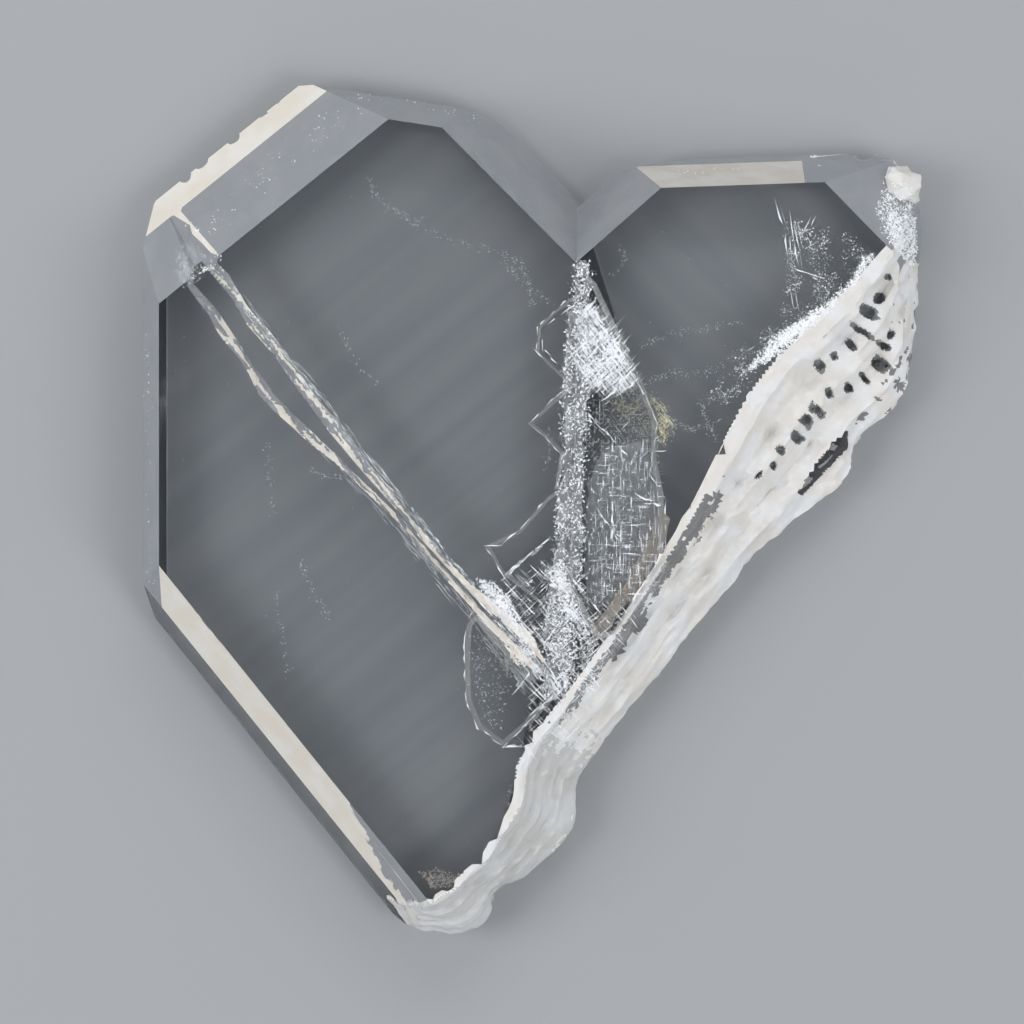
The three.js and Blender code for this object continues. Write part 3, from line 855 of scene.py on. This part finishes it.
rider = {
    "outline": [
        (2.8, 12.5), (3.2, 11.3), (3.6, 10), (4.5, 8.9), (4.8, 7.8), (5.7, 6.1), (6.3, 4.4), (6, 3),
        (6, 1.7), (6.6, 0.7), (6.7, -4.4), (5.4, -5), (3.4, -5.2), (2.4, -4.4), (2.5, 0.6), (2.6, 5.6),
        (2.5, 9.1),
    ],
    "bright": [
        (2.3, 11), (3.5, 10.2), (4.6, 8.8), (4.9, 7.6), (5.6, 6.4), (4, 5.6), (2.4, 6.2), (2.1, 8),
    ],
    "hatch": [
        (3.4, 3.6), (6.2, 3.6), (6.6, 0.6), (6.6, -2.4), (6.2, -4.7), (2.9, -4.7), (2.6, -1.4), (2.9, 1.6),
    ],
    "cracks": [
        (2.2, 9.8, 3.8, 7.9), (1.6, 7.1, 2.7, 8.3), (3.1, 9.1, 4.5, 7.5), (2.5, 8.3, 3.4, 7.1),
        (3, 6.2, 4.8, 7.3), (3.6, 5.6, 4.3, 6.1), (4.7, 7.3, 5.6, 5.8), (2.9, 4.8, 4.8, 2.7),
        (3.3, 0, 4.4, -1.5), (5.5, 0.7, 6.5, 0.2), (1, -1.3, -1.4, -3.2), (1.5, -5.7, 2.3, -4.8),
        (0.5, -6.7, 1.3, -5.7), (1.6, -7.4, 3, -8.9), (-0.2, -11.7, -1.4, -11.7), (-1, -9.2, -0.1, -8),
        (4, 1.6, 4, -1.4), (-1.3, -11.6, 1.1, -9.2), (-1.3, -3.2, 0.9, -1.3), (-1.4, -3.5, 0, -5),
        (1.9, -3.2, 3.3, -4.9), (1.2, -4.2, 2.8, -5.7), (-1.3, -4.7, 1.2, -8.9), (-1, -4.8, 1.5, -8.9),
    ],
    "haze": {  # a cloudy growth layer: its left and right edges, its heights and how thick it is
        "left": [(3.5, 3.1), (2.8, 1.4), (2.7, 0), (2.6, -3), (2.9, -4.8)],
        "right": [(5.6, 3.6), (6.1, 1.8), (6.4, 0), (6.4, -3), (5.4, -4.6)],
        "heights": (3.9, 4.1),
        "grid": (60, 24),
        "seed": 41,
        "thickness": 0.05,
    },
    "faint": [(-3.2, -5.3), (-1.6, -6.3), (-0.8, -8), (-1.5, -11.2), (-2.8, -10.5), (-3.3, -8)],
    "edges": [
        [(5.5, 6.2), (6.2, 4.5), (6, 3), (5.9, 1.8), (6.6, 0.7), (6.7, -4.4)],
        [(1.8, 10.6), (0.3, 9.2), (0.2, 8), (1.9, 6.3)],
        [(2, 10.2), (0.5, 9.1), (0.5, 8.1), (2.1, 6.6)],
        [(1.7, 6.2), (-0.2, 4.4), (0.6, 3.8), (1.4, 2.9)],
        [(0.8, 0.8), (-0.7, -1), (-1.6, -1.7), (-2.4, -1.7), (-1.9, -2.3), (-1.4, -3.2)],
        [(-2.9, -4.9), (-3.3, -5.6), (-3.4, -7.1), (-3.3, -9.4), (-2.7, -10.8), (-1.4, -11.7)],
        [(-1.6, -6.4), (-1, -7.2), (-0.6, -7.8)],
    ],
    "patches": [
        ([(-2.9, -3.3), (-2, -3.4), (-1.1, -4.1), (-0.6, -5.4), (0.3, -6.9),
          (0.2, -7.4), (-0.2, -7.3), (-0.8, -6.4), (-1.9, -5), (-2.5, -4.1)], 2600),
        ([(0.4, -3), (1.5, -2.4), (2, -3.5), (2.8, -5.5), (2.1, -5.7), (1.4, -5.2), (1.2, -4.1)], 1500),
        ([(1, -4.7), (2.1, -4.4), (3.4, -5.7), (3.9, -7.4),
          (3.4, -9.4), (2.1, -10.2), (1.2, -8.9), (0.7, -6.9)], 1500),
        ([(3, 9.2), (4.4, 8.8), (4.8, 7.7), (3.4, 6.8), (2.6, 7.4), (3.4, 8.2)], 1100),
    ],
    "confluence": [
        (0.4, -2.4), (2.1, -2.4), (3.4, -4.4), (5.4, -4.9), (3.4, -8.4), (2.1, -11.4), (-0.6, -12.4),
        (-0.1, -8.9), (-1.6, -6.4), (-2.6, -3.9),
    ],
    "lattices": [  # over which outline, how many slivers, how long and wide, their heights, their directions
        ("outline", 350, (0.3, 1.8), 0.07, (3.2, 4.8), "long"),
        ("outline", 450, (0.4, 2.0), 0.05, (3.8, 4.8), "square"),
        ("bright", 1100, (0.3, 2.0), 0.10, (3.4, 4.8), "long"),
        ("bright", 800, (0.3, 2.2), 0.07, onTop, "long"),
        ("hatch", 400, (0.5, 2.4), 0.05, onTop, "square"),
        ("outline", 160, (0.3, 1.6), 0.035, onTop, "long"),
        ("confluence", 420, (0.6, 2.6), 0.07, onTop, "all"),
        ("hatch", 650, (0.4, 1.8), 0.045, (4.2, 4.85), "square"),
        ("confluence", 800, (0.4, 2.0), 0.09, (2.8, 4.7), "all"),
    ],
    "directions": {
        "long": [leftAlong, rightAlong],
        "all": [leftAlong, rightAlong, leftAcross, rightAcross],
        "square": [(0, 1, 0), (0, 1, 0), (1, 0, 0)],
    },
    "crackLayers": [(0.13, inSurface, 0.6), (0.22, 4.5, 0.5), (0.1, inSurface, 1.1)],  # width, height, pieces
}


def makeSeamFractures():
    rng = np.random.default_rng(12)
    groups = []
    for key, count, lengths, width, heights, ways in rider["lattices"]:
        groups.append(lattice(rider[key], count, lengths, width, heights, rng, rider["directions"][ways]))
    for width, height, pieces in rider["crackLayers"]:
        groups.append(strokes(rider["cracks"], width, height, rng, pieces))
    groups.append(flakesOver(rider["faint"], 420, (4.5, 4.9), (0.05, 0.24), rng, clump=0.5, margin=0.02))
    for path in rider["edges"]:
        groups.append(strokes(pathSegments(path), 0.12, inSurface, rng, 0.8))
    for outline, count in rider["patches"]:
        centres = scatterInOutline(outline, count, (3.9, 4.86), rng, clump=0.35, grain=0.4)
        groups.append(looseShards(centres, (0.08, 0.34), rng, spread=0.3, margin=0.02))
        groups.append(crustShards(centres, (0.04, 0.24), rng))
    groups.append(flakesOver(rider["outline"], 3000, (2.6, 4.8), (0.04, 0.2), rng, clump=0.6, grain=0.7))
    shardPiece("seam_fractures", "white", joinShards(groups))


makeSeamFractures()
makeLayer("seam_haze", "haze", rider["haze"])

trough = {
    "centre": -5.4,  # where its middle and its walls lie, across the left crystal's long axis
    "walls": [(-6.25, 0.16), (-4.55, 0.16)],
    "along": (-6.4, 19),
    "slivers": 520,
    "crests": (-4.95, -4.5),  # painted glints on the upper lip of the right wall
    "narrowing": ((-7, 2, 12, 20), (0.25, 0.4, 0.8, 1)),  # along it, and how wide it is there
    "fork": [([(-17.5, 14.8), (-16.5, 13.7), (-15.5, 12.4)], 50), ([(-17, 11.6), (-16, 12.3)], 60)],
    "patch": [(-17.8, 13.4), (-16.9, 13.6), (-16, 12.6), (-16.6, 11.9), (-17.4, 11), (-17.9, 12)],
    "lines": [(-6.6, -0.2), (-5.6, -1.7), (-3.9, -3.4), (-2.6, -4.9), (-1.6, -6.2), (-0.1, -7.4)],
    "lineShifts": [  # how far beside the path each line of it runs, and at what height
        (-0.22, inSurface), (-0.08, 4.72), (0.05, inSurface), (0.1, 4.72), (0.28, inSurface), (0.4, 4.72),
    ],
}


# White slivers along the trough's walls, on its right lip and along its lower lines: painted glints.
def makeTroughPaintedGlints():
    rng = np.random.default_rng(16)
    count = trough["slivers"]
    along = between(trough["along"], rng.random(count) ** 1.7)
    narrow = np.interp(along, *trough["narrowing"])
    walls = np.array(trough["walls"])[rng.integers(0, 2, count)]
    centre = trough["centre"]
    across = centre + (walls[:, 0] - centre) * narrow + walls[:, 1] * rng.normal(size=count)
    spots = leftAlong * along[:, None] + leftAcross * across[:, None]
    spots[:, 2] = 4.45 + 0.25 * rng.random(count)
    ways = unit(leftAlong + 0.05 * rng.normal(size=(count, 3)))
    normals = tilted(count, 0.6, rng)
    lengths = 0.4 + 2.2 * rng.random(count) ** 2
    widths = 0.04 + 0.07 * rng.random(count)
    groups = [finishShards(spots, ways, normals, lengths, widths, 0.01, rng)]
    crests = between(trough["crests"], rng.random(count))
    crestSpots = atSurface(leftAlong * along[:, None] + leftAcross * crests[:, None], 0.006)
    level = unit(normals * (0.4, 0.4, 1))
    groups.append(finishShards(crestSpots, ways, level, lengths * 0.6, widths * 0.7, -1, rng))
    for path, flakes in trough["fork"]:
        groups.append(crustShards(scatterOnPath(path, flakes, 100, 0.12, rng), (0.06, 0.3), rng))
    patch = atSurface(scatterInOutline(trough["patch"], 420, (0, 1), rng, soft=0.2), 0.2)
    groups.append(looseShards(patch, (0.1, 0.34), rng, spread=0.3, margin=0.02))
    for shift, height in trough["lineShifts"]:
        path = [(x + 0.78 * shift, y + 0.62 * shift) for x, y in trough["lines"]]
        groups.append(strokes(pathSegments(path), 0.12, height, rng, 0.8, margin=0.01))
    shardPiece("trough_painted_glints", "white", joinShards(groups))


makeTroughPaintedGlints()

edgeCloud = {
    "outline": [
        (1.4, -9.4), (2.2, -12.4), (2.1, -15.4), (0.7, -17.3), (-1.2, -18.7), (-2, -20.2), (-3.1, -20.9),
        (-4.6, -20.7), (-3.9, -19.2), (-2.1, -17.9), (-1.1, -16.9), (-1.6, -14.4), (-0.6, -12.4),
        (0.7, -10.4),
    ],
    "wing": [
        (10.2, 6.6), (12, 8.8), (13.4, 9.7), (14.9, 10.7), (15.9, 11.7), (16.6, 13), (17.3, 12.9),
        (16.1, 11.2), (14.4, 9.5), (12.4, 7.8),
    ],
    "speckled": [
        (12.4, 14.8), (15.9, 14.1), (17.2, 12.8), (14.4, 9.6), (12.9, 8.2), (10, 5.4), (8.6, 3.2),
        (8.4, 5.2), (10, 8.2), (12, 9.6), (12.6, 11.6),
    ],
    "tip": [
        (17.6, 16.6), (18.6, 16.8), (19.5, 16.1), (19.3, 14.8), (19.5, 13.3), (18.9, 12.5), (17.6, 13.3),
        (17, 14.8),
    ],
    "tipBright": [(17.8, 15), (19.4, 14.9), (19.5, 13.1), (19.3, 12.2), (18.6, 12.5), (17.6, 13.7)],
    "streaks": [
        (12.2, 15.1, 12.6, 13.8), (12.6, 13.8, 12.7, 12.5), (12.9, 14.7, 13.3, 12),
        (13.2, 14.5, 13.6, 13.6), (14, 14.9, 13.6, 14), (12.7, 12.2, 14.2, 11.7),
        (12.9, 11.1, 13.1, 10.1), (13.1, 14, 13.4, 12.6),
    ],
    "loop": [(12.3, 9.2), (11.5, 8.5), (10.4, 7.8), (10.1, 7.1), (11, 7.1)],
    "inside": [  # over which outline, how many flakes, their heights and sizes, how they lie
        ("outline", 2600, (0.6, 4.6), (0.05, 0.3), {"clump": 0.6}),
        ("wing", 2600, (2.0, 4.8), (0.06, 0.3), {"clump": 0.3, "margin": 0.02}),
        ("speckled", 1500, (2.8, 4.8), (0.04, 0.2), {"clump": 1.0, "grain": 0.8}),
        ("tip", 2400, (0.8, 4.4), (0.05, 0.3), {"clump": 0.4, "margin": 0.01}),
    ],
    "crust": [  # the same for the flakes in the surface
        ("speckled", 1300, onTop, (0.04, 0.2), {"clump": 1.0, "grain": 0.8}),
        ("wing", 2600, onTop, (0.06, 0.32), {"clump": 0.5}),
        ("tip", 1500, onTop, (0.06, 0.3), {"clump": 0.5, "spread": 0.4}),
        ("tipBright", 900, onTop, (0.1, 0.42), {"soft": 0.2, "spread": 0.3}),
    ],
}


def makeEdgeFractures():
    rng = np.random.default_rng(13)
    beside = [(x0 + 0.2, y0, x1 + 0.2, y1) for x0, y0, x1, y1 in edgeCloud["streaks"]]
    groups = [flakesOver(edgeCloud[key], *facts, rng, **lie) for key, *facts, lie in edgeCloud["inside"]]
    groups.append(strokes(edgeCloud["streaks"], 0.11, inSurface, rng, 1.2))
    groups.append(strokes(beside, 0.07, inSurface, rng, 1.1))
    groups.append(strokes(pathSegments(edgeCloud["loop"]), 0.06, inSurface, rng, 0.3))
    groups += [flakesOver(edgeCloud[key], *facts, rng, **lie) for key, *facts, lie in edgeCloud["crust"]]
    shardPiece("edge_fractures", "white", joinShards(groups))


makeEdgeFractures()

wisps = {
    "paths": [
        ([(-8.1, 16.6), (-7.8, 15.7), (-7.2, 15.2), (-6.6, 14.9)], 90),
        ([(-6.8, 15), (-5.8, 14.3), (-5.5, 14.8)], 60),
        ([(-6.8, 15), (-5.6, 14.3), (-4.1, 13.6), (-2.6, 13.1)], 70),
        ([(-2.6, 13.3), (-1.4, 12.8), (-0.6, 12.5), (-0.1, 11.3), (0, 10.3)], 160),
        ([(-1.6, 12.5), (-0.8, 11.8), (0.1, 11.1), (1.1, 10.3)], 110),
        ([(0.8, 4.1), (0.9, 3.2), (0.7, 2.1)], 50),
        ([(-9.7, 9.3), (-9.1, 8.1), (-8.5, 7), (-7.6, 6.3)], 60),
        ([(-11.6, -2.4), (-11, -3.9), (-10.1, -5.4)], 50),
        ([(-13.3, 3.6), (-13.1, 1.6), (-13, -0.4)], 60),
        ([(-12.8, -4), (-12.4, -6.5), (-12.2, -8.2)], 50),
        ([(4.4, 13.3), (4.7, 12.5), (4, 11.7)], 50),
        ([(5.4, 8.3), (6.8, 8.8), (8.4, 9.1), (10.4, 9.5)], 130),
        ([(5.4, 6.3), (7, 7), (8.4, 6.9), (9.5, 7.3)], 150),
        ([(5.4, 5.6), (6.4, 4.8), (7.9, 4.1), (8.7, 4.3)], 200),
        ([(8.4, 5.6), (8.8, 4.3), (9.2, 3.6)], 120),
        ([(-11.1, 2.1), (-10.1, 1.7), (-9.2, 1.8)], 60),
    ],
    "spread": 0.1,
    "depth": 3.9,
    "size": (0.05, 0.2),
    "tipFace": [(-17.4, 14.8), (-11.6, 19.6), (-9.3, 20.6), (-8.1, 20.1), (-11.6, 17.3), (-15.8, 13.6)],
    "specks": 500,
    "speckBox": [(-19, 18), (-19, 20), (0.4, 4.6)],
    "nicks": [
        ([(-19.3, 9), (-19.2, 2), (-19.1, -4)], 70),
        ([(-9.4, 20.9), (-6.4, 20.6), (-2.4, 19.6)], 46),
        ([(-18.6, 15.9), (-15.8, 18.2), (-12.6, 20.9)], 60),
        ([(6.6, 17), (10.4, 17.2), (14.6, 17.3)], 34),
    ],
}


def makeWisps():
    rng = np.random.default_rng(14)
    groups = []
    for path, count in wisps["paths"]:
        centres = scatterOnPath(path, count, 120, wisps["spread"], rng)
        centres[:, 2] = wisps["depth"] + 0.5 * rng.normal(size=count)
        groups.append(looseShards(centres, wisps["size"], rng))
        groups.append(crustShards(centres[::3], (0.04, 0.13), rng))
    specks = np.stack([rng.uniform(low, high, wisps["specks"]) for low, high in wisps["speckBox"]], axis=1)
    groups.append(looseShards(specks, (0.03, 0.12), rng, margin=0.15))
    groups.append(flakesOver(wisps["tipFace"], 420, (1.5, 4.6), (0.05, 0.22), rng, clump=1.0, grain=1.2))
    for path, count in wisps["nicks"]:
        groups.append(crustShards(scatterOnPath(path, count, 200, 0.12, rng), (0.04, 0.2), rng))
    groups.append(flakesOver(wisps["tipFace"], 130, onTop, (0.05, 0.22), rng, clump=1.0, grain=0.9))
    shardPiece("growth_wisps", "white", joinShards(groups))


makeWisps()

stain = {
    "iron": [(3.6, 5.8), (5.4, 6.3), (6.8, 5.6), (7.3, 4.1), (6.6, 2.8), (6.2, 1.6), (5.7, 3.1), (4.4, 4.1)],
    "ironEdge": [(5.6, 6.1), (6.7, 5.4), (7.2, 4.2), (6.5, 3), (6.1, 3.6), (6.2, 4.9)],
    "fan": {
        "left": [(6.2, 0.3), (5.9, -1.2), (5, -3), (3.9, -4.6), (2.9, -5.8)],
        "right": [(6.9, -0.4), (6.5, -1.8), (5.6, -3.3), (4.4, -5), (3.5, -6.4)],
        "heights": (4.5, 4.6),
        "grid": (50, 12),
        "seed": 43,
        "thickness": 0.04,
    },
    "crest": [(12.6, 7.9), (10.8, 5.6), (9.6, 3.5), (8.6, 1.5), (7.3, -0.8), (6, -2.9), (4.5, -5.2)],
    "cream": [(-5.7, -18), (-4.6, -17.7), (-3.5, -18.1), (-3.9, -18.8), (-5.1, -18.9)],
}


def makeStains():
    rng = np.random.default_rng(15)
    edge = stain["ironEdge"]
    iron = [
        flakesOver(stain["iron"], 900, (3.9, 4.8), (0.06, 0.26), rng, clump=0.8, grain=0.7),
        flakesOver(edge, 60, onTop, (0.05, 0.22), rng, clump=1.0, grain=0.5),
        lattice(edge, 90, (0.3, 1.6), 0.05, onTop, rng, [leftAlong, rightAlong, rightAcross]),
    ]
    shardPiece("iron_stain", "iron", joinShards(iron))
    tan = [flakesOver(stain["cream"], 500, (3.6, 4.7), (0.07, 0.3), rng, clump=0.4)]
    tan += [strokes(pathSegments(stain["crest"]), width, inSurface, rng, 1.1) for width in (0.16, 0.1)]
    shardPiece("tan_fracture", "tan", joinShards(tan))


makeStains()
makeLayer("tan_fan", "fan", stain["fan"])


# The studio

studio = {
    "floorColour": "#a6a8aa",
    "floorHalf": 1.5,  # half the floor's width, in metres
    "floorDrop": 0.03,  # the air film between the crystal and the floor
    "skyColour": "#e9eef4",
    "skyStrength": (1.15, 0.42),  # level with the table, and well above it
    "softboxes": [  # place and size in metres, and watts
        ("softbox_left", (-0.32, -0.02, 0.28), (0.22, 0.30), 0.75),
        ("softbox_right", (0.28, -0.16, 0.34), (0.18, 0.26), 0.62),
        ("softbox_top", (0.02, 0.30, 0.22), (0.30, 0.12), 0.35),
    ],
    "lookAt": (-1, -0.02, 4),
    "lens": 200.0,
    "viewWidth": 51.2,
    "bounces": 16,
    "diffuseBounces": 5,
}


def addFloor():
    half, drop = studio["floorHalf"], -studio["floorDrop"] * mm
    corners = [(-half, -half, drop), (half, -half, drop), (half, half, drop), (-half, half, drop)]
    mesh = newMesh("studio_floor", corners, [(0, 1, 2, 3)])
    material, tree, output = newMaterial("matt floor")
    addSurface(tree, output, {"Base Color": linear(studio["floorColour"]), "Roughness": 0.9})
    mesh.materials.append(material)
    floor = bpy.data.objects.new("studio_floor", mesh)
    bpy.context.scene.collection.objects.link(floor)


def addSky():
    world = bpy.data.worlds.new("soft studio")
    bpy.context.scene.world = world
    world.use_nodes = True
    tree = world.node_tree
    background = tree.nodes["Background"]
    ways = addNode(tree, "ShaderNodeTexCoord")
    height = addNode(tree, "ShaderNodeSeparateXYZ", {}, {"Vector": ways.outputs["Generated"]})
    level, above = studio["skyStrength"]
    fade = addNode(
        tree,
        "ShaderNodeMapRange",
        {"From Min": 0.0, "From Max": 0.8, "To Min": level, "To Max": above},
        {"Value": height.outputs["Z"]},
    )
    background.inputs["Color"].default_value = linear(studio["skyColour"])
    tree.links.new(fade.outputs["Result"], background.inputs["Strength"])


def addSoftbox(name, position, size, watts):
    light = bpy.data.lights.new(name, "AREA")
    light.shape = "RECTANGLE"
    light.size, light.size_y = size
    light.energy = watts
    lamp = bpy.data.objects.new(name, light)
    lamp.location = position
    lamp.rotation_euler = (-Vector(position)).to_track_quat("-Z", "Y").to_euler()
    bpy.context.scene.collection.objects.link(lamp)


def addCamera():
    camera = bpy.data.cameras.new("camera")
    camera.lens = studio["lens"]
    camera.clip_start = 0.01
    holder = bpy.data.objects.new("camera", camera)
    target = place([studio["lookAt"]])[0]
    away = studio["lens"] * studio["viewWidth"] / camera.sensor_width
    holder.location = (target[0], target[1], target[2] + away * mm)
    bpy.context.scene.collection.objects.link(holder)
    bpy.context.scene.camera = holder


def makeStudio():
    addFloor()
    addSky()
    for softbox in studio["softboxes"]:
        addSoftbox(*softbox)
    addCamera()
    scene = bpy.context.scene
    scene.view_settings.view_transform = "Standard"
    scene.cycles.max_bounces = studio["bounces"]
    scene.cycles.glossy_bounces = studio["bounces"]
    scene.cycles.transmission_bounces = studio["bounces"]
    scene.cycles.diffuse_bounces = studio["diffuseBounces"]
    scene.cycles.blur_glossy = 0.0
    print("studio made")


makeStudio()
